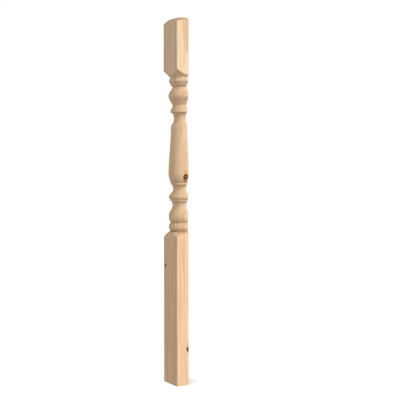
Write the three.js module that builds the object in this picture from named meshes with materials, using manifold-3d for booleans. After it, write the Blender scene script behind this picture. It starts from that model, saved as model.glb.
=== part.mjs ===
// A half newel post. A square pine blank is turned between two square blocks, then ripped down its turning
// axis, so that the flat sawn back stands against a wall and the balustrade meets the wide front.
// Millimetres. X runs across the front, -Y is the front, +Z is up, and the origin is the middle of the foot.

import * as THREE from 'three';
import { mergeVertices } from 'three/addons/utils/BufferGeometryUtils.js';
import Module from 'manifold-3d';

// The square blank, and the two blocks that stay square, each measured along its corners
const BLANK_WIDTH = 90;
const ARRIS_RADIUS = 2;
const BASE_BLOCK_HEIGHT = 493.3;
const TOP_BLOCK_HEIGHT = 153.7;

// The domed top: how far it rises from the corners to its flat seat, and how wide the seat is
const CROWN_RISE = 20.2;
const CAP_SEAT_DIAMETER = 36;

// Turned members from the base block upwards: heights along the post, diameters across it
const BASE_SHOULDER_HEIGHT = 23;
const LOWER_CREASE_HEIGHT = 1;
const LOWER_CREASE_DIAMETER = 76.4;
const LOWER_BEAD_HALF_HEIGHT = 13.7;
const LOWER_BEAD_DIAMETER = 89.6;

const VASE_FOOT_DIAMETER = 74.4;
const VASE_FOOT_HEIGHT = 19;
const VASE_DIAMETER = 89.6;
const VASE_SWEEP_HEIGHT = 39.4;
const VASE_WAIST_DIAMETER = 63.6;
const VASE_FLARE_HEIGHT = 13.9;
const VASE_FLARE_DIAMETER = 74;

const LOWER_FILLET_HEIGHT = 6.5;
const LOWER_FILLET_DIAMETER = 79.6;

const RING_FOOT_HEIGHT = 7.4;
const RING_DIAMETER = 88.6;
const RING_TOP_HEIGHT = 11.9;
const RING_TOP_DIAMETER = 70.6;

const LOWER_COVE_FALL_HEIGHT = 12.2;
const LOWER_COVE_DIAMETER = 57.8;
const LOWER_COVE_RISE_HEIGHT = 17.3;
const LOWER_COVE_TOP_DIAMETER = 69;
const BARREL_FILLET_HEIGHT = 5.4;
const BARREL_FILLET_DIAMETER = 75.2;

const BARREL_FOOT_HEIGHT = 29.1;
const BARREL_FOOT_DIAMETER = 71.6;
const BARREL_DIAMETER = 89.6;
const BARREL_TAPER_HEIGHT = 156.6;
const BARREL_TOP_DIAMETER = 73.2;
const BARREL_CAP_HEIGHT = 12;
const BARREL_CAP_DIAMETER = 63.4;

const UPPER_QUIRK_HEIGHT = 2.6;
const UPPER_QUIRK_DIAMETER = 60.4;
const UPPER_COVE_FALL_HEIGHT = 15;
const UPPER_COVE_DIAMETER = 52.6;
const UPPER_COVE_RISE_HEIGHT = 20.4;
const UPPER_COVE_TOP_DIAMETER = 68.4;

const COLLAR_HEIGHT = 4.4;
const COLLAR_DIAMETER = 75.8;
const COLLAR_CAP_HEIGHT = 8.5;
const COLLAR_CAP_DIAMETER = 69.6;

const URN_WAIST_FALL_HEIGHT = 7.7;
const URN_WAIST_DIAMETER = 61.4;
const URN_SWEEP_HEIGHT = 36.5;
const URN_DIAMETER = 89.2;
const URN_CAP_HEIGHT = 20.5;
const URN_CAP_DIAMETER = 66.8;
const URN_FILLET_HEIGHT = 5;
const URN_FILLET_DIAMETER = 66.2;

const CUP_CREASE_HEIGHT = 2;
const CUP_CREASE_DIAMETER = 58.6;
const CUP_TAPER_HEIGHT = 15.4;
const CUP_TAPER_DIAMETER = 81.4;
const CUP_SWELL_HEIGHT = 5.6;
const CUP_DIAMETER = 85.2;
const CUP_CAP_HEIGHT = 8.9;
const UPPER_CREASE_HEIGHT = 2.5;
const UPPER_CREASE_DIAMETER = 76.4;
const UPPER_SHOULDER_HEIGHT = 24.1;

// How finely the curves and the circle are cut
const ROUND_SEGMENTS = 64;
const CURVE_SEGMENTS = 5;
const ARRIS_SEGMENTS = 3;
const CROWN_SEGMENTS = 6;

// Points closer than this are one point
const WELD_DISTANCE = 1e-4;

// A square corner stands this far from the turning axis
const CORNER_RADIUS = (BLANK_WIDTH / 2) * Math.SQRT2;
// The blocks are turned to nothing: their profile stands clear outside the square corners
const CLEAR_OF_CORNERS = 5;
// A Bezier handle of this share of its span draws a quarter of an ellipse
const QUARTER_HANDLE = 0.5523;

// How full a curve is turned, from a straight cone at 0 to a quarter of an ellipse at 1
const SLACK = 0.32;
const EASY = 0.52;
const PLUMP = 0.7;
const FULL = 0.85;
// How long an ogee holds its upright start and end, as shares of its height
const SHORT_HOLD = 0.32;
const HOLD = 0.44;
const LONG_HOLD = 0.55;

// The turner's outline runs up the post, with the radius as x and the height as y.
class TurnedOutline {

	constructor() {

		this.path = new THREE.Path();
		this.radius = 0;
		this.height = 0;

	}

	start( radius, height ) {

		this.path.moveTo( radius, height );
		this.radius = radius;
		this.height = height;

	}

	straight( rise, diameter ) {

		this.radius = diameter / 2;
		this.height += rise;
		this.path.lineTo( this.radius, this.height );

	}

	// A curve with handles given as shares of its width and of its height at both ends.
	sweep( rise, diameter, startHandle, endHandle ) {

		const width = diameter / 2 - this.radius;
		this.path.bezierCurveTo(
			this.radius + width * startHandle.out,
			this.height + rise * startHandle.up,
			this.radius + width * ( 1 - endHandle.out ),
			this.height + rise * ( 1 - endHandle.up ),
			diameter / 2,
			this.height + rise,
		);
		this.radius = diameter / 2;
		this.height += rise;

	}

	// Leaves square to the axis and arrives along it: a crease that fills out to a belly, or an edge that
	// falls in to a neck. Fullness 0 is a straight cone, 1 is a quarter of an ellipse.
	arriveUpright( rise, diameter, fullness ) {

		const third = 1 / 3;
		const spread = THREE.MathUtils.lerp( third, QUARTER_HANDLE, fullness );
		const gone = THREE.MathUtils.lerp( third, 0, fullness );
		this.sweep( rise, diameter, { out: spread, up: gone }, { out: gone, up: spread } );

	}

	// The same curve the other way round: leaves along the axis and arrives square to it.
	leaveUpright( rise, diameter, fullness ) {

		const third = 1 / 3;
		const spread = THREE.MathUtils.lerp( third, QUARTER_HANDLE, fullness );
		const gone = THREE.MathUtils.lerp( third, 0, fullness );
		this.sweep( rise, diameter, { out: gone, up: spread }, { out: spread, up: gone } );

	}

	// An ogee: it leaves and arrives along the axis.
	ogee( rise, diameter, startGrip, endGrip ) {

		this.sweep( rise, diameter, { out: 0, up: startGrip }, { out: 0, up: endGrip } );

	}

}

function drawLowerMembers( outline ) {

	outline.leaveUpright( BASE_SHOULDER_HEIGHT, LOWER_CREASE_DIAMETER, SLACK );
	outline.straight( LOWER_CREASE_HEIGHT, LOWER_CREASE_DIAMETER );
	outline.arriveUpright( LOWER_BEAD_HALF_HEIGHT, LOWER_BEAD_DIAMETER, FULL );
	outline.leaveUpright( LOWER_BEAD_HALF_HEIGHT, VASE_FOOT_DIAMETER, EASY );

	outline.arriveUpright( VASE_FOOT_HEIGHT, VASE_DIAMETER, PLUMP );
	outline.ogee( VASE_SWEEP_HEIGHT, VASE_WAIST_DIAMETER, LONG_HOLD, HOLD );
	outline.leaveUpright( VASE_FLARE_HEIGHT, VASE_FLARE_DIAMETER, PLUMP );
	outline.straight( 0, LOWER_FILLET_DIAMETER );
	outline.straight( LOWER_FILLET_HEIGHT, LOWER_FILLET_DIAMETER );

	outline.arriveUpright( RING_FOOT_HEIGHT, RING_DIAMETER, FULL );
	outline.leaveUpright( RING_TOP_HEIGHT, RING_TOP_DIAMETER, EASY );
	outline.arriveUpright( LOWER_COVE_FALL_HEIGHT, LOWER_COVE_DIAMETER, EASY );
	outline.leaveUpright( LOWER_COVE_RISE_HEIGHT, LOWER_COVE_TOP_DIAMETER, PLUMP );

}

function drawBarrel( outline ) {

	outline.straight( 0, BARREL_FILLET_DIAMETER );
	outline.straight( BARREL_FILLET_HEIGHT, BARREL_FILLET_DIAMETER );
	outline.straight( 0, BARREL_FOOT_DIAMETER );
	outline.arriveUpright( BARREL_FOOT_HEIGHT, BARREL_DIAMETER, EASY );
	outline.ogee( BARREL_TAPER_HEIGHT, BARREL_TOP_DIAMETER, SHORT_HOLD, SHORT_HOLD );
	outline.leaveUpright( BARREL_CAP_HEIGHT, BARREL_CAP_DIAMETER, FULL );

}

function drawUpperMembers( outline ) {

	outline.straight( 0, UPPER_QUIRK_DIAMETER );
	outline.straight( UPPER_QUIRK_HEIGHT, UPPER_QUIRK_DIAMETER );
	outline.arriveUpright( UPPER_COVE_FALL_HEIGHT, UPPER_COVE_DIAMETER, EASY );
	outline.leaveUpright( UPPER_COVE_RISE_HEIGHT, UPPER_COVE_TOP_DIAMETER, PLUMP );
	outline.straight( 0, COLLAR_DIAMETER );
	outline.straight( COLLAR_HEIGHT, COLLAR_DIAMETER );
	outline.leaveUpright( COLLAR_CAP_HEIGHT, COLLAR_CAP_DIAMETER, EASY );

	outline.arriveUpright( URN_WAIST_FALL_HEIGHT, URN_WAIST_DIAMETER, EASY );
	outline.ogee( URN_SWEEP_HEIGHT, URN_DIAMETER, SHORT_HOLD, HOLD );
	outline.leaveUpright( URN_CAP_HEIGHT, URN_CAP_DIAMETER, EASY );
	outline.straight( 0, URN_FILLET_DIAMETER );
	outline.straight( URN_FILLET_HEIGHT, URN_FILLET_DIAMETER );

	outline.straight( CUP_CREASE_HEIGHT, CUP_CREASE_DIAMETER );
	outline.arriveUpright( CUP_TAPER_HEIGHT, CUP_TAPER_DIAMETER, SLACK );
	outline.arriveUpright( CUP_SWELL_HEIGHT, CUP_DIAMETER, FULL );
	outline.leaveUpright( CUP_CAP_HEIGHT, UPPER_CREASE_DIAMETER, PLUMP );
	outline.straight( UPPER_CREASE_HEIGHT, UPPER_CREASE_DIAMETER );
	outline.straight( UPPER_SHOULDER_HEIGHT, CORNER_RADIUS * 2 );

}

// The dome is part of a sphere that passes through the block's corners and the rim of the flat seat.
function drawCrown( outline ) {

	const seatRadius = CAP_SEAT_DIAMETER / 2;
	const seatHeight = outline.height + CROWN_RISE;
	const depthToCentre = ( CORNER_RADIUS ** 2 + CROWN_RISE ** 2 - seatRadius ** 2 ) / ( 2 * CROWN_RISE );
	const centreHeight = seatHeight - depthToCentre;
	const crownRadius = Math.hypot( seatRadius, depthToCentre );
	const cornerAngle = Math.atan2( depthToCentre - CROWN_RISE, CORNER_RADIUS );
	const seatAngle = Math.atan2( depthToCentre, seatRadius );

	for ( let i = 1; i <= CROWN_SEGMENTS; i ++ ) {

		const angle = THREE.MathUtils.lerp( cornerAngle, seatAngle, i / CROWN_SEGMENTS );
		outline.path.lineTo( crownRadius * Math.cos( angle ), centreHeight + crownRadius * Math.sin( angle ) );

	}

	outline.path.lineTo( 0, seatHeight );
	outline.height = seatHeight;

}

function drawPost() {

	const clearRadius = CORNER_RADIUS + CLEAR_OF_CORNERS;
	const outline = new TurnedOutline();
	outline.start( 0, - CLEAR_OF_CORNERS );
	outline.path.lineTo( clearRadius, - CLEAR_OF_CORNERS );
	outline.path.lineTo( clearRadius, BASE_BLOCK_HEIGHT );
	outline.path.lineTo( CORNER_RADIUS, BASE_BLOCK_HEIGHT );
	outline.radius = CORNER_RADIUS;
	outline.height = BASE_BLOCK_HEIGHT;

	drawLowerMembers( outline );
	drawBarrel( outline );
	drawUpperMembers( outline );

	outline.path.lineTo( clearRadius, outline.height );
	outline.height += TOP_BLOCK_HEIGHT;
	outline.path.lineTo( clearRadius, outline.height );
	outline.path.lineTo( CORNER_RADIUS, outline.height );
	drawCrown( outline );
	return outline;

}

// The lathe turns about its own Y, so the turned solid is stood up along Z.
function turnedSolid( outline ) {

	const geometry = new THREE.LatheGeometry( outline.path.getPoints( CURVE_SEGMENTS ), ROUND_SEGMENTS );
	geometry.rotateX( Math.PI / 2 );
	return geometry;

}

// Half of the square blank, from the saw cut on the turning axis to the front, with its front arrises eased.
function sawnBlank( height ) {

	const half = BLANK_WIDTH / 2;
	const section = new THREE.Shape();
	section.moveTo( half, 0 );
	section.lineTo( - half, 0 );
	section.lineTo( - half, - half + ARRIS_RADIUS );
	section.absarc( - half + ARRIS_RADIUS, - half + ARRIS_RADIUS, ARRIS_RADIUS, Math.PI, Math.PI * 1.5 );
	section.absarc( half - ARRIS_RADIUS, - half + ARRIS_RADIUS, ARRIS_RADIUS, Math.PI * 1.5, Math.PI * 2 );
	section.closePath();
	return new THREE.ExtrudeGeometry( section, {
		depth: height,
		bevelEnabled: false,
		curveSegments: ARRIS_SEGMENTS,
	} );

}

function toManifold( wasm, geometry ) {

	const bare = geometry.clone();
	bare.deleteAttribute( 'normal' );
	bare.deleteAttribute( 'uv' );
	const merged = mergeVertices( bare, WELD_DISTANCE );
	return new wasm.Manifold( new wasm.Mesh( {
		numProp: 3,
		vertProperties: merged.attributes.position.array,
		triVerts: new Uint32Array( merged.index.array ),
	} ) );

}

function toGeometry( manifold ) {

	const mesh = manifold.getMesh();
	const geometry = new THREE.BufferGeometry();
	geometry.setAttribute( 'position', new THREE.BufferAttribute( mesh.vertProperties, mesh.numProp ) );
	geometry.setIndex( new THREE.BufferAttribute( mesh.triVerts, 1 ) );
	geometry.computeVertexNormals();
	return geometry;

}

const wasm = await Module();
wasm.setup();

const outline = drawPost();
const turned = toManifold( wasm, turnedSolid( outline ) );
const blank = toManifold( wasm, sawnBlank( outline.height + CLEAR_OF_CORNERS ) );

const pine = new THREE.MeshStandardMaterial( { color: 0xdbb98f, roughness: 0.62, metalness: 0 } );
const post = new THREE.Mesh( toGeometry( turned.intersect( blank ) ), pine );
post.name = 'newel_post';
// The saw cut is the back, so the post is moved to stand centred over the origin.
post.position.y = BLANK_WIDTH / 4;

const group = new THREE.Group();
group.add( post );

export default group;
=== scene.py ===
import math
from typing import NamedTuple

import bmesh
import bpy
from bpy.props import FloatProperty, FloatVectorProperty, PointerProperty
from bpy.types import Operator, Panel, PropertyGroup
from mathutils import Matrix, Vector
from mathutils.geometry import interpolate_bezier


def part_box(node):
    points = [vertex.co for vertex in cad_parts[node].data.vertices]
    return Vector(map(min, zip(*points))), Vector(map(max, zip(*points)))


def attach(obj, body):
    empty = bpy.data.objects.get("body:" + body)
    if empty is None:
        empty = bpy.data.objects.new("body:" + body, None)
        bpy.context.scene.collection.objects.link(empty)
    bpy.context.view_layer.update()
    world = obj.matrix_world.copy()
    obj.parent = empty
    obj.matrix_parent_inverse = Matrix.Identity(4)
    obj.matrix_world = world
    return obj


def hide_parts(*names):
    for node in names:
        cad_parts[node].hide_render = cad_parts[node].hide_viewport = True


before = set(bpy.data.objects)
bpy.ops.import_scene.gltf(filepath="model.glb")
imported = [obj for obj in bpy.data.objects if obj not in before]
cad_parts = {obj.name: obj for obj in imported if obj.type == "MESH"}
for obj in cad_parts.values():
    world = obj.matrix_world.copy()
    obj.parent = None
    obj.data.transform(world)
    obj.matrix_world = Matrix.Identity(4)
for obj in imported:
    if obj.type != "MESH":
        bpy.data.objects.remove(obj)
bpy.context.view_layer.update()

bl_info = {
    "name": "Half Newel Post",
    "version": (1, 0, 0),
    "blender": (4, 5, 0),
    "location": "3D View > Sidebar > Newel Post",
    "description": "A half newel post, turned from pine and ripped down its axis, on a pale studio floor",
    "category": "Add Mesh",
}

# Lengths are written in millimetres and held in metres
MM = 0.001

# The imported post: its box gives the blank's width, the sawn back and the whole height
POST_NODE = "newel_post"
POST_BODY = "root"
LOWEST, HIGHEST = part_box(POST_NODE)
BLANK_WIDTH = HIGHEST.x - LOWEST.x
POST_HEIGHT = HIGHEST.z
# The post is turned between these heights and stays square on the two blocks
BASE_BLOCK_TOP = 493.3 * MM
TOP_BLOCK_FOOT = 1054.5 * MM
# The sawn back lies on the turning axis
TURNING_AXIS = Vector((0.0, HIGHEST.y, 0.0))


def length(name, description, default):
    """A property that holds a length in metres."""
    return FloatProperty(
        name=name, description=description, default=default, min=0.0, subtype="DISTANCE", unit="LENGTH"
    )


def height(member, millimetres):
    """How far a turned member runs along the post."""
    return length(f"{member} Height", f"How far the {member.lower()} runs along the post", millimetres * MM)


def diameter(member, millimetres):
    """How wide a turned member is."""
    return length(f"{member} Diameter", f"Across the {member.lower()}", millimetres * MM)


def colour(name, description, red, green, blue):
    """A property that holds a linear colour."""
    return FloatVectorProperty(
        name=name,
        description=description,
        default=(red, green, blue),
        min=0.0,
        max=1.0,
        size=3,
        subtype="COLOR",
    )


def angle(name, description, degrees):
    """A property that holds an angle."""
    return FloatProperty(
        name=name, description=description, default=math.radians(degrees), subtype="ANGLE", unit="ROTATION"
    )


class BlankSizes(PropertyGroup):
    """The square blank, the blocks that stay square and the domed crown."""

    width: length("Width", "Across a face of the square blank", BLANK_WIDTH)
    arris_radius: length("Arris Radius", "Rounding of the two front arrises", 2 * MM)
    base_block: length("Base Block", "Height of the square base, along its corners", BASE_BLOCK_TOP)
    post_height: length("Post Height", "From the foot to the flat seat on the crown", POST_HEIGHT)
    crown_rise: length("Crown Rise", "From the top block's corners up to the seat", 20.2 * MM)
    seat_diameter: length("Seat Diameter", "Across the flat seat on the crown", 36 * MM)


class LowerMemberSizes(PropertyGroup):
    """The turned members between the base block and the barrel."""

    base_shoulder_height: height("Base Shoulder", 23)
    lower_crease_height: height("Lower Crease", 1)
    lower_crease_diameter: diameter("Lower Crease", 76.4)
    lower_bead_half_height: height("Half of the Lower Bead", 13.7)
    lower_bead_diameter: diameter("Lower Bead", 89.6)
    vase_foot_height: height("Vase Foot", 19)
    vase_foot_diameter: diameter("Vase Foot", 74.4)
    vase_diameter: diameter("Vase", 89.6)
    vase_sweep_height: height("Vase Sweep", 39.4)
    vase_waist_diameter: diameter("Vase Waist", 63.6)
    vase_flare_height: height("Vase Flare", 13.9)
    vase_flare_diameter: diameter("Vase Flare", 74)
    lower_fillet_height: height("Lower Fillet", 6.5)
    lower_fillet_diameter: diameter("Lower Fillet", 79.6)
    ring_foot_height: height("Ring Foot", 7.4)
    ring_diameter: diameter("Ring", 88.6)
    ring_top_height: height("Ring Top", 11.9)
    ring_top_diameter: diameter("Ring Top", 70.6)
    lower_cove_fall_height: height("Lower Cove Fall", 12.2)
    lower_cove_diameter: diameter("Lower Cove", 57.8)
    lower_cove_rise_height: height("Lower Cove Rise", 17.3)
    lower_cove_top_diameter: diameter("Lower Cove Top", 69)


class BarrelSizes(PropertyGroup):
    """The long tapered barrel and the fillet that it stands on."""

    fillet_height: height("Barrel Fillet", 5.4)
    fillet_diameter: diameter("Barrel Fillet", 75.2)
    foot_height: height("Barrel Foot", 29.1)
    foot_diameter: diameter("Barrel Foot", 71.6)
    diameter: diameter("Barrel", 89.6)
    taper_height: height("Barrel Taper", 156.6)
    top_diameter: diameter("Barrel Top", 73.2)
    cap_height: height("Barrel Cap", 12)
    cap_diameter: diameter("Barrel Cap", 63.4)


class UpperMemberSizes(PropertyGroup):
    """The turned members between the barrel and the top block."""

    quirk_height: height("Upper Quirk", 2.6)
    quirk_diameter: diameter("Upper Quirk", 60.4)
    cove_fall_height: height("Upper Cove Fall", 15)
    cove_diameter: diameter("Upper Cove", 52.6)
    cove_rise_height: height("Upper Cove Rise", 20.4)
    cove_top_diameter: diameter("Upper Cove Top", 68.4)
    collar_height: height("Collar", 4.4)
    collar_diameter: diameter("Collar", 75.8)
    collar_cap_height: height("Collar Cap", 8.5)
    collar_cap_diameter: diameter("Collar Cap", 69.6)
    urn_fall_height: height("Urn Waist Fall", 7.7)
    urn_waist_diameter: diameter("Urn Waist", 61.4)
    urn_sweep_height: height("Urn Sweep", 36.5)
    urn_diameter: diameter("Urn", 89.2)
    urn_cap_height: height("Urn Cap", 20.5)
    urn_cap_diameter: diameter("Urn Cap", 66.8)
    urn_fillet_height: height("Urn Fillet", 5)
    urn_fillet_diameter: diameter("Urn Fillet", 66.2)
    cup_crease_height: height("Cup Crease", 2)
    cup_crease_diameter: diameter("Cup Crease", 58.6)
    cup_taper_height: height("Cup Taper", 15.4)
    cup_taper_diameter: diameter("Cup Taper", 81.4)
    cup_swell_height: height("Cup Swell", 5.6)
    cup_diameter: diameter("Cup", 85.2)
    cup_cap_height: height("Cup Cap", 8.9)
    upper_crease_height: height("Upper Crease", 2.5)
    upper_crease_diameter: diameter("Upper Crease", 76.4)
    upper_shoulder_height: height("Upper Shoulder", 24.1)


class PineColours(PropertyGroup):
    """The colours of the planed and turned pine."""

    sapwood: colour("Sapwood", "Cream early wood far from the pith", 0.875, 0.675, 0.46)
    heartwood: colour("Heartwood", "Peach early wood near the pith", 0.84, 0.59, 0.38)
    latewood: colour("Latewood", "The dark edge of each growth ring", 0.60, 0.33, 0.145)
    knot_rim: colour("Knot Rim", "The dark bark ring round a knot", 0.15, 0.025, 0.002)
    knot_heart: colour("Knot Heart", "The wood inside a knot", 0.58, 0.23, 0.09)
    knot_tail: colour("Knot Tail", "The dark grain that trails down from a knot", 0.27, 0.11, 0.035)
    resin: colour("Resin", "The stained wood beside a knot", 0.62, 0.33, 0.14)


class StudioSettings(PropertyGroup):
    """Where the camera stands and how bright the lights are."""

    azimuth: angle("Azimuth", "How far the camera stands round from the front towards the right side", 59.5)
    distance: length("Distance", "From the camera to the turning axis", 2884.64 * MM)
    eye_height: length("Eye Height", "From the floor to the camera", 722.64 * MM)
    pitch: angle("Pitch", "How far the camera looks up from level", -2.04)
    turn: angle("Turn", "How far the camera looks to the right of the turning axis", 1.22)
    lens: FloatProperty(name="Lens", description="Focal length", default=76.964, unit="CAMERA")
    surround: FloatProperty(name="Surround", description="Even light from all round", default=0.545, min=0.0)
    lift: FloatProperty(
        name="Lift", description="How much more light comes from above than from the side", default=0.12
    )
    key: FloatProperty(name="Key", description="Light from the right side", default=2.47, min=0.0)
    floor: FloatProperty(name="Floor", description="Light on the floor alone", default=3.0, min=0.0)


# How full a curve is turned, from a straight cone at 0 to a quarter of an ellipse at 1
SLACK = 0.32
EASY = 0.52
PLUMP = 0.7
FULL = 0.85
# How long an ogee holds its upright start and end, as shares of its height
SHORT_HOLD = 0.32
HOLD = 0.44
LONG_HOLD = 0.55
# A Bezier handle of this share of its span draws a quarter of an ellipse
QUARTER_HANDLE = 0.5523
STRAIGHT_HANDLE = 1 / 3

# The blocks are turned to nothing: their profile stands clear outside the square corners
CLEAR_OF_CORNERS = 5 * MM
# Curves are drawn in steps of about this length, and a full circle in this many
CURVE_STEP = 1.5 * MM
LEAST_CURVE_STEPS = 6
CIRCLE_STEPS = 180
# A scribed line is a shallow V where two members meet
SCRIBE_DEPTH = 0.7 * MM
SCRIBE_HEIGHT = 1.6 * MM
# Turned edges are taken off by sanding
EDGE_EASE = 0.4 * MM
EASED_CORNER = math.radians(25)
LONGEST_EASE_SHARE = 0.4
ARRIS_FACETS = 5

WELD_DISTANCE = 0.001 * MM
SHARP_EDGE = math.radians(40)
# A face with more corners than this is planed or sawn, not turned
TURNED_FACE_CORNERS = 4

POST_NAME = "turned_pine_post"


class TurnedOutline:
    """The turner's outline, drawn up the post, with the radius as x and the height as z."""

    def __init__(self, radius, height):
        self.points = [Vector((radius, 0.0, height))]

    def line_to(self, radius, height):
        self.points.append(Vector((radius, 0.0, height)))

    def straight(self, rise, diameter):
        self.line_to(diameter / 2, self.points[-1].z + rise)

    def step(self, diameter):
        self.straight(0.0, diameter)

    def sweep(self, rise, diameter, leave, arrive):
        """A curve with its two handles given as shares of its width and of its height."""
        start = self.points[-1]
        end = Vector((diameter / 2, 0.0, start.z + rise))
        span = end - start
        first = start + Vector((span.x * leave[0], 0.0, span.z * leave[1]))
        last = end - Vector((span.x * arrive[0], 0.0, span.z * arrive[1]))
        steps = max(LEAST_CURVE_STEPS, round(span.length / CURVE_STEP))
        self.points += interpolate_bezier(start, first, last, end, steps + 1)[1:]

    def arrive_upright(self, rise, diameter, fullness):
        """Leaves square to the axis and arrives along it, as a crease fills out to a belly."""
        spread = STRAIGHT_HANDLE + (QUARTER_HANDLE - STRAIGHT_HANDLE) * fullness
        gone = STRAIGHT_HANDLE * (1 - fullness)
        self.sweep(rise, diameter, (spread, gone), (gone, spread))

    def leave_upright(self, rise, diameter, fullness):
        """Leaves along the axis and arrives square to it."""
        spread = STRAIGHT_HANDLE + (QUARTER_HANDLE - STRAIGHT_HANDLE) * fullness
        gone = STRAIGHT_HANDLE * (1 - fullness)
        self.sweep(rise, diameter, (gone, spread), (spread, gone))

    def ogee(self, rise, diameter, leave_hold, arrive_hold):
        """Leaves and arrives along the axis."""
        self.sweep(rise, diameter, (0.0, leave_hold), (0.0, arrive_hold))

    def scribe(self):
        """A shallow V cut into the member, as wide as SCRIBE_HEIGHT."""
        lip = self.points[-1]
        self.line_to(lip.x - SCRIBE_DEPTH, lip.z + SCRIBE_HEIGHT / 2)
        self.line_to(lip.x, lip.z + SCRIBE_HEIGHT)

    def eased(self):
        """The same points with each sharp corner rounded a little."""
        points = [self.points[0]]
        for before, corner, after in zip(self.points, self.points[1:], self.points[2:]):
            arrive = corner - before
            leave = after - corner
            if arrive.angle(leave) < EASED_CORNER:
                points.append(corner)
                continue
            ease = min(EDGE_EASE, LONGEST_EASE_SHARE * min(arrive.length, leave.length))
            first = corner - arrive.normalized() * ease
            last = corner + leave.normalized() * ease
            points += [first, (first + corner * 2 + last) / 4, last]
        points.append(self.points[-1])
        return points


def draw_lower_members(outline, sizes):
    outline.leave_upright(sizes.base_shoulder_height, sizes.lower_crease_diameter, SLACK)
    outline.straight(sizes.lower_crease_height, sizes.lower_crease_diameter)
    outline.arrive_upright(sizes.lower_bead_half_height, sizes.lower_bead_diameter, FULL)
    outline.leave_upright(sizes.lower_bead_half_height, sizes.vase_foot_diameter, EASY)

    outline.arrive_upright(sizes.vase_foot_height, sizes.vase_diameter, PLUMP)
    outline.ogee(sizes.vase_sweep_height, sizes.vase_waist_diameter, LONG_HOLD, HOLD)
    outline.leave_upright(sizes.vase_flare_height, sizes.vase_flare_diameter, PLUMP)
    outline.step(sizes.lower_fillet_diameter)
    outline.straight(sizes.lower_fillet_height, sizes.lower_fillet_diameter)

    outline.arrive_upright(sizes.ring_foot_height, sizes.ring_diameter, FULL)
    outline.leave_upright(sizes.ring_top_height, sizes.ring_top_diameter, EASY)
    outline.scribe()
    outline.arrive_upright(sizes.lower_cove_fall_height - SCRIBE_HEIGHT, sizes.lower_cove_diameter, EASY)
    outline.leave_upright(sizes.lower_cove_rise_height, sizes.lower_cove_top_diameter, PLUMP)


def draw_barrel(outline, sizes):
    outline.step(sizes.fillet_diameter)
    outline.straight(sizes.fillet_height, sizes.fillet_diameter)
    outline.step(sizes.foot_diameter)
    outline.arrive_upright(sizes.foot_height, sizes.diameter, EASY)
    outline.ogee(sizes.taper_height, sizes.top_diameter, SHORT_HOLD, SHORT_HOLD)
    outline.leave_upright(sizes.cap_height, sizes.cap_diameter, FULL)


def draw_upper_members(outline, sizes, corner_diameter):
    outline.step(sizes.quirk_diameter)
    outline.straight(sizes.quirk_height, sizes.quirk_diameter)
    outline.arrive_upright(sizes.cove_fall_height, sizes.cove_diameter, EASY)
    outline.leave_upright(sizes.cove_rise_height, sizes.cove_top_diameter, PLUMP)
    outline.step(sizes.collar_diameter)
    outline.straight(sizes.collar_height, sizes.collar_diameter)
    outline.leave_upright(sizes.collar_cap_height, sizes.collar_cap_diameter, EASY)
    outline.scribe()

    outline.arrive_upright(sizes.urn_fall_height - SCRIBE_HEIGHT, sizes.urn_waist_diameter, EASY)
    outline.ogee(sizes.urn_sweep_height, sizes.urn_diameter, SHORT_HOLD, HOLD)
    outline.leave_upright(sizes.urn_cap_height, sizes.urn_cap_diameter, EASY)
    outline.step(sizes.urn_fillet_diameter)
    outline.straight(sizes.urn_fillet_height, sizes.urn_fillet_diameter)

    outline.straight(sizes.cup_crease_height, sizes.cup_crease_diameter)
    outline.arrive_upright(sizes.cup_taper_height, sizes.cup_taper_diameter, SLACK)
    outline.arrive_upright(sizes.cup_swell_height, sizes.cup_diameter, FULL)
    outline.leave_upright(sizes.cup_cap_height, sizes.upper_crease_diameter, PLUMP)
    outline.straight(sizes.upper_crease_height, sizes.upper_crease_diameter)
    outline.straight(sizes.upper_shoulder_height, corner_diameter)


def draw_crown(outline, blank, corner_radius):
    """The dome is part of a sphere through the block's corners and the rim of the flat seat."""
    seat_radius = blank.seat_diameter / 2
    rise = blank.crown_rise
    above_centre = (corner_radius**2 + rise**2 - seat_radius**2) / (2 * rise)
    centre_height = blank.post_height - above_centre
    crown_radius = math.hypot(seat_radius, above_centre)
    corner_angle = math.atan2(above_centre - rise, corner_radius)
    seat_angle = math.atan2(above_centre, seat_radius)
    steps = round(crown_radius * (seat_angle - corner_angle) / CURVE_STEP)
    for step in range(1, steps + 1):
        bearing = corner_angle + (seat_angle - corner_angle) * step / steps
        outline.line_to(crown_radius * math.cos(bearing), centre_height + crown_radius * math.sin(bearing))
    outline.line_to(0.0, blank.post_height)


def draw_post(scene):
    """The whole outline, from the middle of the foot to the middle of the seat."""
    blank = scene.newel_blank
    corner_radius = blank.width / 2 * math.sqrt(2)
    clear_radius = corner_radius + CLEAR_OF_CORNERS
    top_corner_height = blank.post_height - blank.crown_rise

    outline = TurnedOutline(0.0, 0.0)
    outline.line_to(clear_radius, 0.0)
    outline.line_to(clear_radius, blank.base_block)
    outline.line_to(corner_radius, blank.base_block)
    draw_lower_members(outline, scene.newel_lower)
    draw_barrel(outline, scene.newel_barrel)
    draw_upper_members(outline, scene.newel_upper, corner_radius * 2)
    outline.line_to(clear_radius, outline.points[-1].z)
    outline.line_to(clear_radius, top_corner_height)
    outline.line_to(corner_radius, top_corner_height)
    draw_crown(outline, blank, corner_radius)
    return outline


def turn(mesh, outline):
    """Spins the outline once round the turning axis."""
    tips = [mesh.verts.new(point) for point in outline.eased()]
    edges = [mesh.edges.new(pair) for pair in zip(tips, tips[1:])]
    bmesh.ops.spin(
        mesh,
        geom=tips + edges,
        cent=(0.0, 0.0, 0.0),
        axis=(0.0, 0.0, 1.0),
        dvec=(0.0, 0.0, 0.0),
        angle=math.tau,
        steps=CIRCLE_STEPS,
        use_merge=True,
    )
    bmesh.ops.remove_doubles(mesh, verts=mesh.verts, dist=WELD_DISTANCE)
    bmesh.ops.recalc_face_normals(mesh, faces=mesh.faces)


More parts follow.
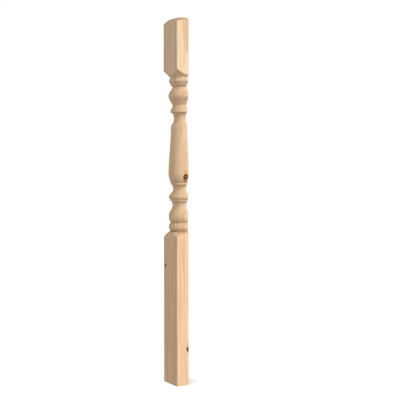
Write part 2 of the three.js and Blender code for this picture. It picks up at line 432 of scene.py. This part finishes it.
def plane_off(mesh, point, normal):
    """Cuts away what lies outside a plane and closes the wood with a flat face."""
    cut = bmesh.ops.bisect_plane(
        mesh,
        geom=mesh.verts[:] + mesh.edges[:] + mesh.faces[:],
        dist=WELD_DISTANCE,
        plane_co=point,
        plane_no=normal,
        clear_outer=True,
    )
    rim = [part for part in cut["geom_cut"] if isinstance(part, bmesh.types.BMEdge)]
    flats = bmesh.ops.holes_fill(mesh, edges=rim, sides=0)["faces"]
    if not flats:
        raise RuntimeError("a plane cut left the post open")


def ease_front_arris(mesh, blank, side):
    """Planes small facets off one front arris, tangent to its rounding."""
    inset = blank.width / 2 - blank.arris_radius
    middle = Vector((side * inset, -inset, 0.0))
    for facet in range(1, ARRIS_FACETS + 1):
        bearing = math.pi / 2 * facet / (ARRIS_FACETS + 1)
        normal = Vector((side * math.cos(bearing), -math.sin(bearing), 0.0))
        plane_off(mesh, middle + normal * blank.arris_radius, normal)


def join_end_faces(mesh, blank):
    """Makes one flat face of the foot, and one of the seat."""
    for level in (0.0, blank.post_height):
        faces = [
            face
            for face in mesh.faces
            if all(abs(vert.co.z - level) < WELD_DISTANCE for vert in face.verts)
        ]
        bmesh.ops.dissolve_faces(mesh, faces=faces)


def shade(mesh):
    """Shades the turned wood smooth and keeps the planed faces and the crisp edges."""
    for face in mesh.faces:
        face.smooth = len(face.verts) <= TURNED_FACE_CORNERS
    for edge in mesh.edges:
        edge.smooth = edge.calc_face_angle(0.0) < SHARP_EDGE


def build_post(scene):
    """Turns the blank, rips it down its axis and planes its faces."""
    blank = scene.newel_blank
    half = blank.width / 2
    mesh = bmesh.new()
    turn(mesh, draw_post(scene))
    plane_off(mesh, Vector((0.0, 0.0, 0.0)), Vector((0.0, 1.0, 0.0)))
    plane_off(mesh, Vector((0.0, -half, 0.0)), Vector((0.0, -1.0, 0.0)))
    for side in (-1, 1):
        plane_off(mesh, Vector((side * half, 0.0, 0.0)), Vector((side, 0.0, 0.0)))
    for side in (-1, 1):
        ease_front_arris(mesh, blank, side)
    join_end_faces(mesh, blank)
    if not all(edge.is_manifold for edge in mesh.edges):
        raise RuntimeError("the post isn't one closed solid")
    shade(mesh)
    bmesh.ops.translate(mesh, verts=mesh.verts, vec=TURNING_AXIS)
    data = bpy.data.meshes.new(POST_NAME)
    mesh.to_mesh(data)
    mesh.free()
    post = bpy.data.objects.new(POST_NAME, data)
    scene.collection.objects.link(post)
    return post


class Knot(NamedTuple):
    """A branch that runs out from the pith to this place, and how strong its marks are, from 0 to 1."""

    x: float
    y: float
    z: float
    half_width: float
    half_height: float
    heart_light: float
    flare: float
    tail: float


class Stain(NamedTuple):
    """How far a stain reaches beside, above and below a knot, in the knot's half widths."""

    beside: float
    above: float
    below: float


class Drift(NamedTuple):
    """A slow wander: its size across and along the post, and how far it swings in all."""

    across: float
    along: float
    reach: float


class Grain(NamedTuple):
    """Darker lines along the grain: their size, their noise, where they show and their tint."""

    across: float
    along: float
    detail: float
    roughness: float
    shows: tuple
    tint: tuple


# Lengths in the pine's pattern are in millimetres, from the turning axis and the foot. A pair of values says
# where a mark starts to show and where it shows in full

# The pith is a line outside the left face that leans a little as it goes up
PITH_X = -64.6
PITH_Y = -5.0
PITH_LEAN_X = 0.006
PITH_LEAN_Y = -0.002
# A branch starts this far below its knot, and is drawn no thinner than it is this far out from the pith
BRANCH_DROP = 14.0
BRANCH_ROOT = 4.0

KNOTS = (
    Knot(x=42.9, y=-9.8, z=698.3, half_width=7.4, half_height=8.8, heart_light=0.8, flare=0.95, tail=0.75),
    Knot(x=45.0, y=0.0, z=121.3, half_width=9.2, half_height=8.6, heart_light=0.45, flare=0.4, tail=0.0),
    Knot(x=-32.7, y=-45.0, z=397.5, half_width=4.0, half_height=4.2, heart_light=0.0, flare=0.3, tail=0.0),
)
# Marks round a knot, measured from its middle in its half widths. Its edge wavers a little
KNOT_DRIFT = Drift(across=5.0, along=7.0, reach=2.0)
KNOT_WOOD = (1.12, 0.9)
KNOT_HEART = (0.6, 0.1)
RESIN_FLARE = Stain(beside=1.75, above=4.6, below=2.6)
DARK_TAIL = Stain(beside=1.8, above=1.6, below=5.2)
STAIN_SHOWS = (1.0, 0.45)
# Rings pass round a knot in a bulge that is longer than wide, and are pushed out this far in its middle
RING_BULGE = (2.6, 0.6)
RING_BULGE_SHAPE = (1.0, 1.0, 0.45)
RING_PUSH = 4.5

# The grain wanders. It also slopes sideways between the first two heights, and back between the other two
GRAIN_DRIFT = Drift(across=70.0, along=420.0, reach=16.0)
GRAIN_SLOPES = (690.0, 870.0)
GRAIN_SLOPES_BACK = (1050.0, 890.0)
GRAIN_SHIFT = (0.0, 20.0, 0.0)

# The mean width of a growth ring, and how strongly and over what distance the rings widen and narrow
RING_WIDTH = 3.6
RING_UNEVENNESS = 4.0
RING_UNEVEN_OVER = 13.0
# Late wood darkens through a ring and stops at its edge. It differs by the year and is weaker where turned
LATE_WOOD_DARKENS = (0.3, 0.9)
LATE_WOOD_STOPS = (1.0, 0.93)
LEAST_LATE_WOOD = 0.16
LATE_WOOD_BY_YEAR = 0.44
LATE_WOOD_WHERE_TURNED = -0.45

# Bands of peach and cream follow the rings, broken up along the grain, with more cream towards the top
BAND_WIDTH = 9.0
BAND_LENGTH = 280.0
BAND_DETAIL = 1.0
BAND_BREAKS = 0.5
CREAM = (0.3, 0.7)
CREAM_RISES = (950.0, 1080.0)
CREAM_GAIN = 0.32
CREAM_AT_FOOT = -0.12

# Lines along the grain, from broad to fine
STREAKS = Grain(
    across=6.0, along=300.0, detail=3.0, roughness=0.5, shows=(0.48, 0.72), tint=(0.9, 0.84, 0.79, 1.0)
)
PINSTRIPES = Grain(
    across=3.0, along=420.0, detail=2.0, roughness=0.5, shows=(0.46, 0.64), tint=(0.91, 0.86, 0.805, 1.0)
)
FIBRES = Grain(
    across=0.8, along=45.0, detail=3.0, roughness=0.6, shows=(0.45, 0.75), tint=(0.95, 0.92, 0.88, 1.0)
)

# Wood that is cut across the grain is darker, and the end grain more so. These tints are partly real grain
# colour
# and partly painted shade: they also darken the undersides of the turned members and damp the light on
# up-facing slopes and on the crown. How far a face is cut across is the part of its normal that runs along
# the post
CROSS_GRAIN_AND_SLOPE_SHADE = (0.06, 0.4)
CROSS_GRAIN_AND_SLOPE_SHADE_TINT = (0.905, 0.89, 0.875, 1.0)
END_GRAIN_AND_SLOPE_SHADE = (0.72, 0.96)
END_GRAIN_AND_SLOPE_SHADE_TINT = (0.63, 0.55, 0.47, 1.0)

# The change from a square block to the turned stretch takes this far each way
TURNED_BLUR = 2.0
# A face is planed or sawn flat where its normal lies this nearly along X or Y
FLAT = (0.99, 0.999)
NOT_FLAT = (0.999, 0.99)
# The gouge leaves fine rings, and the saw leaves ridges that slant
GOUGE_STEP = 0.9
GOUGE_DETAIL = 3.0
SAW_STEP = 2.4
SAW_SLANT = (0.16, 0.0, 1.0)
SAW_TINT = (0.82, 0.77, 0.72, 1.0)
SAW_TINT_SHARE = 0.35
# How far the marks stand up
FIBRE_RELIEF = 0.04
LATE_WOOD_RELIEF = 0.03
GOUGE_RELIEF = 0.05
SAW_RELIEF = 0.16

# Bare wood is dull, and a little duller along its fibres
ROUGHNESS = 0.65
FIBRE_ROUGHNESS = 0.15
SPECULAR_LEVEL = 0.12

# The colour sockets of a Mix node, which come after those of its other kinds
MIX_FIRST = 6
MIX_SECOND = 7
MIX_RESULT = 2
# Where a vector holds its coordinates, and the factors that keep only its level part
X, Y, Z = range(3)
LEVEL = (1.0, 1.0, 0.0)
NOISE_MIDDLE = 0.5


class NodeBench:
    """Lays shader nodes and links them. A value is a number, a tuple or another node's output."""

    def __init__(self, tree):
        self.nodes = tree.nodes
        self.links = tree.links

    def feed(self, socket, value):
        if isinstance(value, bpy.types.NodeSocket):
            self.links.new(value, socket)
        else:
            socket.default_value = value

    def lay(self, kind, inputs, output=0, **settings):
        node = self.nodes.new(kind)
        for name, setting in settings.items():
            setattr(node, name, setting)
        for key, value in inputs.items():
            self.feed(node.inputs[key], value)
        return node.outputs[output]

    def math(self, operation, *values):
        return self.lay("ShaderNodeMath", dict(enumerate(values)), operation=operation)

    def product(self, first, second):
        return self.math("MULTIPLY", first, second)

    def vector(self, operation, *values):
        return self.lay("ShaderNodeVectorMath", dict(enumerate(values)), operation=operation)

    def scaled(self, vector, factor):
        return self.lay("ShaderNodeVectorMath", {"Vector": vector, "Scale": factor}, operation="SCALE")

    def measure(self, operation, *values):
        """A vector operation whose answer is one number."""
        return self.lay("ShaderNodeVectorMath", dict(enumerate(values)), output="Value", operation=operation)

    def coordinate(self, vector, which):
        return self.lay("ShaderNodeSeparateXYZ", {0: vector}, output=which)

    def between(self, value, low, high):
        """Rises smoothly from 0 at low to 1 at high."""
        inputs = {"Value": value, "From Min": low, "From Max": high}
        return self.lay("ShaderNodeMapRange", inputs, interpolation_type="SMOOTHSTEP")

    def noise(self, vector, detail=2.0, roughness=0.5, output="Fac"):
        inputs = {"Vector": vector, "Scale": 1.0, "Detail": detail, "Roughness": roughness}
        return self.lay("ShaderNodeTexNoise", inputs, output=output)

    def noise_along(self, distance, step, detail=2.0):
        """Noise that changes along a distance, in steps of about this length."""
        inputs = {"W": self.math("DIVIDE", distance, step), "Scale": 1.0, "Detail": detail}
        return self.lay("ShaderNodeTexNoise", inputs, noise_dimensions="1D")

    def mix(self, share, first, second, blend="MIX"):
        node = self.nodes.new("ShaderNodeMix")
        node.data_type = "RGBA"
        node.blend_type = blend
        self.feed(node.inputs["Factor"], share)
        self.feed(node.inputs[MIX_FIRST], first)
        self.feed(node.inputs[MIX_SECOND], second)
        return node.outputs[MIX_RESULT]

    def tint(self, share, wood, tint):
        return self.mix(share, wood, tint, "MULTIPLY")

    def largest(self, fields):
        most = fields[0]
        for field in fields[1:]:
            most = self.math("MAXIMUM", most, field)
        return most


def opaque(tone):
    return (*tone, 1.0)


def stretched(bench, place, across, along):
    """The place divided by a pattern's size across the grain and along it."""
    return bench.vector("MULTIPLY", place, (1 / across, 1 / across, 1 / along))


def drifted(bench, place, drift):
    """The place moved by a slow wander, which swings as far one way as the other."""
    swing = bench.noise(stretched(bench, place, drift.across, drift.along), output="Color")
    swing = bench.vector("SUBTRACT", swing, (NOISE_MIDDLE, NOISE_MIDDLE, NOISE_MIDDLE))
    return bench.vector("ADD", place, bench.scaled(swing, drift.reach))


def grained(bench, wood, place, grain):
    """The wood tinted by one kind of grain, and that grain's pattern."""
    place = stretched(bench, place, grain.across, grain.along)
    pattern = bench.noise(place, grain.detail, grain.roughness)
    return bench.tint(bench.between(pattern, *grain.shows), wood, grain.tint), pattern


def pith_at(height):
    return Vector((PITH_X + PITH_LEAN_X * height, PITH_Y + PITH_LEAN_Y * height, height))


class KnotField:
    """What the pattern needs to know of one knot, in its own sizes: 1 is its half width."""

    def __init__(self, bench, place, knot):
        root = pith_at(knot.z)
        root.z -= BRANCH_DROP
        reach = Vector((knot.x, knot.y, knot.z)) - root
        direction = tuple(reach.normalized())
        from_root = bench.vector("SUBTRACT", place, tuple(root))
        outward = bench.measure("DOT_PRODUCT", from_root, direction)
        spread = bench.product(bench.math("MAXIMUM", outward, BRANCH_ROOT), knot.half_width / reach.length)
        aside = bench.vector("SUBTRACT", from_root, bench.scaled(direction, outward))
        half_widths = bench.lay("ShaderNodeCombineXYZ", {X: spread, Y: spread, Z: spread})
        self.bench = bench
        self.knot = knot
        self.aside = bench.vector("DIVIDE", aside, half_widths)

    def distance(self, shape):
        """The distance from the knot's middle, with each direction given its own weight."""
        return self.bench.measure("LENGTH", self.bench.vector("MULTIPLY", self.aside, shape))

    def rim(self):
        """The distance from the knot's middle: 1 at its rim."""
        return self.distance((1.0, 1.0, self.knot.half_width / self.knot.half_height))

    def push(self):
        """How far the rings are pushed outwards as they pass round the knot."""
        return self.bench.product(self.bench.between(self.distance(RING_BULGE_SHAPE), *RING_BULGE), RING_PUSH)

    def stain(self, stain, strength):
        """A stain that runs to a point above and below the knot."""
        bench = self.bench
        rise = bench.coordinate(self.aside, Z)
        above = bench.math("DIVIDE", bench.math("MAXIMUM", rise, 0.0), stain.above)
        below = bench.math("DIVIDE", bench.math("MINIMUM", rise, 0.0), -stain.below)
        beside = bench.math("DIVIDE", self.distance(LEVEL), stain.beside)
        distance = bench.math("ADD", beside, bench.math("ADD", above, below))
        return bench.product(bench.between(distance, *STAIN_SHOWS), strength)


class KnotMarks:
    """Where the marks of all the knots lie, and how far the knots push the growth rings."""

    def __init__(self, bench, in_millimetres):
        place = drifted(bench, in_millimetres, KNOT_DRIFT)
        fields = [KnotField(bench, place, knot) for knot in KNOTS]
        rims = [field.rim() for field in fields]
        self.wood = bench.largest([bench.between(rim, *KNOT_WOOD) for rim in rims])
        self.heart = bench.largest([
            bench.product(bench.between(rim, *KNOT_HEART), knot.heart_light) for rim, knot in zip(rims, KNOTS)
        ])
        self.flare = bench.largest([field.stain(RESIN_FLARE, field.knot.flare) for field in fields])
        self.tail = bench.largest([field.stain(DARK_TAIL, field.knot.tail) for field in fields])
        self.push = bench.largest([field.push() for field in fields])


class GrowthRings:
    """Rings about the leaning pith: the distance that they have grown, and their late wood."""

    def __init__(self, bench, in_millimetres, rise, turned, push):
        slope = bench.product(bench.between(rise, *GRAIN_SLOPES), bench.between(rise, *GRAIN_SLOPES_BACK))
        place = drifted(bench, in_millimetres, GRAIN_DRIFT)
        place = bench.vector("SUBTRACT", place, bench.scaled(GRAIN_SHIFT, slope))
        pith = bench.vector("ADD", bench.scaled((PITH_LEAN_X, PITH_LEAN_Y, 0.0), rise), (PITH_X, PITH_Y, 0.0))
        from_pith = bench.vector("MULTIPLY", bench.vector("SUBTRACT", place, pith), LEVEL)
        growth = bench.math("SUBTRACT", bench.measure("LENGTH", from_pith), push)

        uneven = bench.product(bench.noise_along(growth, RING_UNEVEN_OVER), RING_UNEVENNESS)
        year = bench.math("ADD", bench.math("DIVIDE", growth, RING_WIDTH), uneven)
        season = bench.math("FRACT", year)
        by_year = {"W": bench.math("FLOOR", year)}
        vigour = bench.lay("ShaderNodeTexWhiteNoise", by_year, noise_dimensions="1D")
        late = bench.product(
            bench.between(season, *LATE_WOOD_DARKENS), bench.between(season, *LATE_WOOD_STOPS)
        )
        late = bench.product(late, bench.math("MULTIPLY_ADD", vigour, LATE_WOOD_BY_YEAR, LEAST_LATE_WOOD))
        late = bench.product(late, bench.math("MULTIPLY_ADD", turned, LATE_WOOD_WHERE_TURNED, 1.0))
        self.place = place
        self.growth = growth
        self.late = late


def turned_stretch(bench, rise):
    """1 between the two square blocks and 0 on them."""
    base_top = BASE_BLOCK_TOP / MM
    top_foot = TOP_BLOCK_FOOT / MM
    above_base = bench.between(rise, base_top - TURNED_BLUR, base_top + TURNED_BLUR)
    below_top = bench.between(rise, top_foot + TURNED_BLUR, top_foot - TURNED_BLUR)
    return bench.product(above_base, below_top)


def early_wood(bench, colours, rings, rise):
    """Bands of peach and cream between the dark lines of the rings."""
    band = bench.noise_along(rings.growth, BAND_WIDTH, detail=BAND_DETAIL)
    breaks = bench.noise(stretched(bench, rings.place, BAND_WIDTH, BAND_LENGTH))
    breaks = bench.product(bench.math("SUBTRACT", breaks, NOISE_MIDDLE), BAND_BREAKS)
    cream = bench.math("MULTIPLY_ADD", bench.between(rise, *CREAM_RISES), CREAM_GAIN, CREAM_AT_FOOT)
    band = bench.math("ADD", bench.math("ADD", band, breaks), cream)
    return bench.mix(bench.between(band, *CREAM), opaque(colours.heartwood), opaque(colours.sapwood))


def gouge_marks(bench, normal, rise, turned):
    """Fine rings round the turned wood, and none on its planed and sawn faces."""
    curved = turned
    for axis in (Y, X):
        flatness = bench.math("ABSOLUTE", bench.coordinate(normal, axis))
        curved = bench.product(curved, bench.between(flatness, *NOT_FLAT))
    return bench.product(bench.noise_along(rise, GOUGE_STEP, detail=GOUGE_DETAIL), curved)


def saw_marks(bench, normal, in_millimetres):
    """Slanting ridges on the sawn back."""
    along = bench.measure("DOT_PRODUCT", in_millimetres, SAW_SLANT)
    back = bench.between(bench.coordinate(normal, Y), *FLAT)
    return bench.product(back, bench.noise_along(along, SAW_STEP))


def pine_material(colours):
    """Planed and turned pine: growth rings about a pith outside the post, and knots that grow out of it."""
    material = bpy.data.materials.new("pine")
    material.use_nodes = True
    tree = material.node_tree
    tree.nodes.clear()
    bench = NodeBench(tree)

    coordinates = tree.nodes.new("ShaderNodeTexCoord")
    in_millimetres = bench.lay(
        "ShaderNodeMapping",
        {
            "Vector": coordinates.outputs["Object"],
            "Location": tuple(-TURNING_AXIS / MM),
            "Scale": (1 / MM, 1 / MM, 1 / MM),
        },
    )
    normal = coordinates.outputs["Normal"]
    rise = bench.coordinate(in_millimetres, Z)
    turned = turned_stretch(bench, rise)
    knots = KnotMarks(bench, in_millimetres)
    rings = GrowthRings(bench, in_millimetres, rise, turned, knots.push)

    wood = early_wood(bench, colours, rings, rise)
    wood = bench.mix(rings.late, wood, opaque(colours.latewood))
    wood, _ = grained(bench, wood, rings.place, STREAKS)
    wood, _ = grained(bench, wood, rings.place, PINSTRIPES)
    wood, fibre = grained(bench, wood, rings.place, FIBRES)

    # Partly painted shade: faces that slope up or down take the darker cut-grain tints, which also stand in
    # for shade under the turned members and damp the light on their tops and on the crown
    facing = bench.math("ABSOLUTE", bench.coordinate(normal, Z))
    wood = bench.tint(bench.between(facing, *CROSS_GRAIN_AND_SLOPE_SHADE), wood, CROSS_GRAIN_AND_SLOPE_SHADE_TINT)
    wood = bench.tint(bench.between(facing, *END_GRAIN_AND_SLOPE_SHADE), wood, END_GRAIN_AND_SLOPE_SHADE_TINT)

    wood = bench.mix(knots.flare, wood, opaque(colours.resin))
    wood = bench.mix(knots.tail, wood, opaque(colours.knot_tail))
    knot_wood = bench.mix(knots.heart, opaque(colours.knot_rim), opaque(colours.knot_heart))
    wood = bench.mix(knots.wood, wood, knot_wood)

    sawn = saw_marks(bench, normal, in_millimetres)
    wood = bench.tint(bench.product(sawn, SAW_TINT_SHARE), wood, SAW_TINT)
    relief = bench.product(rings.late, LATE_WOOD_RELIEF)
    relief = bench.math("MULTIPLY_ADD", fibre, FIBRE_RELIEF, relief)
    relief = bench.math("MULTIPLY_ADD", gouge_marks(bench, normal, rise, turned), GOUGE_RELIEF, relief)
    relief = bench.math("MULTIPLY_ADD", sawn, SAW_RELIEF, relief)

    shader = tree.nodes.new("ShaderNodeBsdfPrincipled")
    shader.inputs["Specular IOR Level"].default_value = SPECULAR_LEVEL
    bench.feed(shader.inputs["Base Color"], wood)
    bench.feed(shader.inputs["Roughness"], bench.math("MULTIPLY_ADD", fibre, FIBRE_ROUGHNESS, ROUGHNESS))
    bump = bench.lay("ShaderNodeBump", {"Height": relief, "Distance": MM, "Strength": 1.0})
    bench.feed(shader.inputs["Normal"], bump)
    output = tree.nodes.new("ShaderNodeOutputMaterial")
    tree.links.new(shader.outputs[0], output.inputs["Surface"])
    return material


class NEWEL_OT_turn_post(Operator):
    """Turn the half newel post, rip it down its axis and finish it in pine"""

    bl_idname = "newel.turn_post"
    bl_label = "Turn the Post"

    def execute(self, context):
        post = build_post(context.scene)
        post.data.materials.append(pine_material(context.scene.newel_pine))
        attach(post, POST_BODY)
        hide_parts(POST_NODE)
        return {"FINISHED"}


class Sunlight(NamedTuple):
    """Where a distant light stands, in degrees from +X and above the floor, and how wide it is."""

    bearing: float
    elevation: float
    softness: float


KEY_LIGHT = Sunlight(bearing=23, elevation=34, softness=30)
FLOOR_LIGHT = Sunlight(bearing=-60, elevation=70, softness=60)
LAMP_DISTANCE = 3.0

FLOOR_RADIUS = 20.0
FLOOR_SEGMENTS = 128
FLOOR_TINT = (0.9, 0.9, 0.9, 1.0)
WHITE = (1.0, 1.0, 1.0, 1.0)


def pale_floor(scene):
    """A wide pale floor that takes light and shade and gives none back."""
    mesh = bmesh.new()
    bmesh.ops.create_circle(mesh, cap_ends=True, radius=FLOOR_RADIUS, segments=FLOOR_SEGMENTS)
    data = bpy.data.meshes.new("pale_floor")
    mesh.to_mesh(data)
    mesh.free()
    material = bpy.data.materials.new("pale_floor")
    material.use_nodes = True
    shader = material.node_tree.nodes["Principled BSDF"]
    shader.inputs["Base Color"].default_value = FLOOR_TINT
    shader.inputs["Roughness"].default_value = 1.0
    shader.inputs["Specular IOR Level"].default_value = 0.0
    data.materials.append(material)
    floor = bpy.data.objects.new("pale_floor", data)
    floor.visible_diffuse = False
    floor.visible_glossy = False
    floor.visible_shadow = False
    scene.collection.objects.link(floor)
    return floor


def light_surround(scene, strength, lift):
    """Lights the post from all round, a little more from above, and looks white behind it."""
    world = bpy.data.worlds.new("white_surround")
    world.use_nodes = True
    tree = world.node_tree
    tree.nodes.clear()
    bench = NodeBench(tree)
    seen = bench.lay("ShaderNodeBackground", {"Color": WHITE, "Strength": 1.0})
    direction = tree.nodes.new("ShaderNodeTexCoord").outputs["Generated"]
    sky = bench.math("MULTIPLY_ADD", bench.coordinate(direction, Z), strength * lift, strength)
    lit = bench.lay("ShaderNodeBackground", {"Color": WHITE, "Strength": sky})
    path = tree.nodes.new("ShaderNodeLightPath")
    either = bench.lay("ShaderNodeMixShader", {0: path.outputs["Is Camera Ray"], 1: lit, 2: seen})
    output = tree.nodes.new("ShaderNodeOutputWorld")
    tree.links.new(either, output.inputs["Surface"])
    scene.world = world


def hang_sun(scene, name, sunlight, strength, lit_object):
    """A soft distant light that falls on one object alone."""
    bearing = math.radians(sunlight.bearing)
    elevation = math.radians(sunlight.elevation)
    lamp = bpy.data.lights.new(name, "SUN")
    lamp.energy = strength
    lamp.angle = math.radians(sunlight.softness)
    light = bpy.data.objects.new(name, lamp)
    source = Vector((
        math.cos(elevation) * math.cos(bearing),
        math.cos(elevation) * math.sin(bearing),
        math.sin(elevation),
    ))
    light.rotation_euler = source.to_track_quat("Z", "Y").to_euler()
    light.location = source * LAMP_DISTANCE
    receivers = bpy.data.collections.new(f"{name}_falls_on")
    receivers.objects.link(lit_object)
    light.light_linking.receiver_collection = receivers
    scene.collection.objects.link(light)


def stand_camera(scene, studio):
    """The camera looks at the right front corner, a little down, without any shift."""
    back = Vector((math.sin(studio.azimuth), -math.cos(studio.azimuth), 0.0))
    right = Vector((math.cos(studio.azimuth), math.sin(studio.azimuth), 0.0))
    up = Vector((0.0, 0.0, 1.0))
    level = right * math.sin(studio.turn) - back * math.cos(studio.turn)
    sight = level * math.cos(studio.pitch) + up * math.sin(studio.pitch)
    lens = bpy.data.cameras.new("photo_view")
    lens.lens = studio.lens
    camera = bpy.data.objects.new("photo_view", lens)
    camera.location = TURNING_AXIS + back * studio.distance + up * studio.eye_height
    camera.rotation_euler = sight.to_track_quat("-Z", "Y").to_euler()
    scene.collection.objects.link(camera)
    bpy.context.scene.camera = camera


class NEWEL_OT_set_stage(Operator):
    """Lay the pale floor, light it and stand the camera"""

    bl_idname = "newel.set_stage"
    bl_label = "Set the Stage"

    def execute(self, context):
        scene = context.scene
        studio = scene.newel_studio
        post = bpy.data.objects.get(POST_NAME)
        if post is None:
            raise RuntimeError("turn the post before setting the stage")
        floor = pale_floor(scene)
        light_surround(scene, studio.surround, studio.lift)
        hang_sun(scene, "key_light", KEY_LIGHT, studio.key, post)
        hang_sun(scene, "floor_light", FLOOR_LIGHT, studio.floor, floor)
        stand_camera(scene, studio)
        scene.view_settings.view_transform = "Standard"
        return {"FINISHED"}


OPERATORS = (NEWEL_OT_turn_post, NEWEL_OT_set_stage)
SETTINGS = {
    "newel_blank": BlankSizes,
    "newel_lower": LowerMemberSizes,
    "newel_barrel": BarrelSizes,
    "newel_upper": UpperMemberSizes,
    "newel_pine": PineColours,
    "newel_studio": StudioSettings,
}


class NEWEL_PT_sidebar(Panel):
    """Lists the operators and the sizes and colours that they read."""

    bl_label = "Half Newel Post"
    bl_space_type = "VIEW_3D"
    bl_region_type = "UI"
    bl_category = "Newel Post"

    def draw(self, context):
        for operator in OPERATORS:
            self.layout.operator(operator.bl_idname)
        for setting, group in SETTINGS.items():
            box = self.layout.box()
            for name in group.__annotations__:
                box.prop(getattr(context.scene, setting), name)


def register():
    for cls in (*SETTINGS.values(), *OPERATORS, NEWEL_PT_sidebar):
        bpy.utils.register_class(cls)
    for setting, group in SETTINGS.items():
        setattr(bpy.types.Scene, setting, PointerProperty(type=group))


def unregister():
    for setting in SETTINGS:
        delattr(bpy.types.Scene, setting)
    for cls in (NEWEL_PT_sidebar, *OPERATORS, *SETTINGS.values()):
        bpy.utils.unregister_class(cls)


def main():
    register()
    bpy.ops.newel.turn_post()
    bpy.ops.newel.set_stage()


if __name__ == "__main__":
    main()
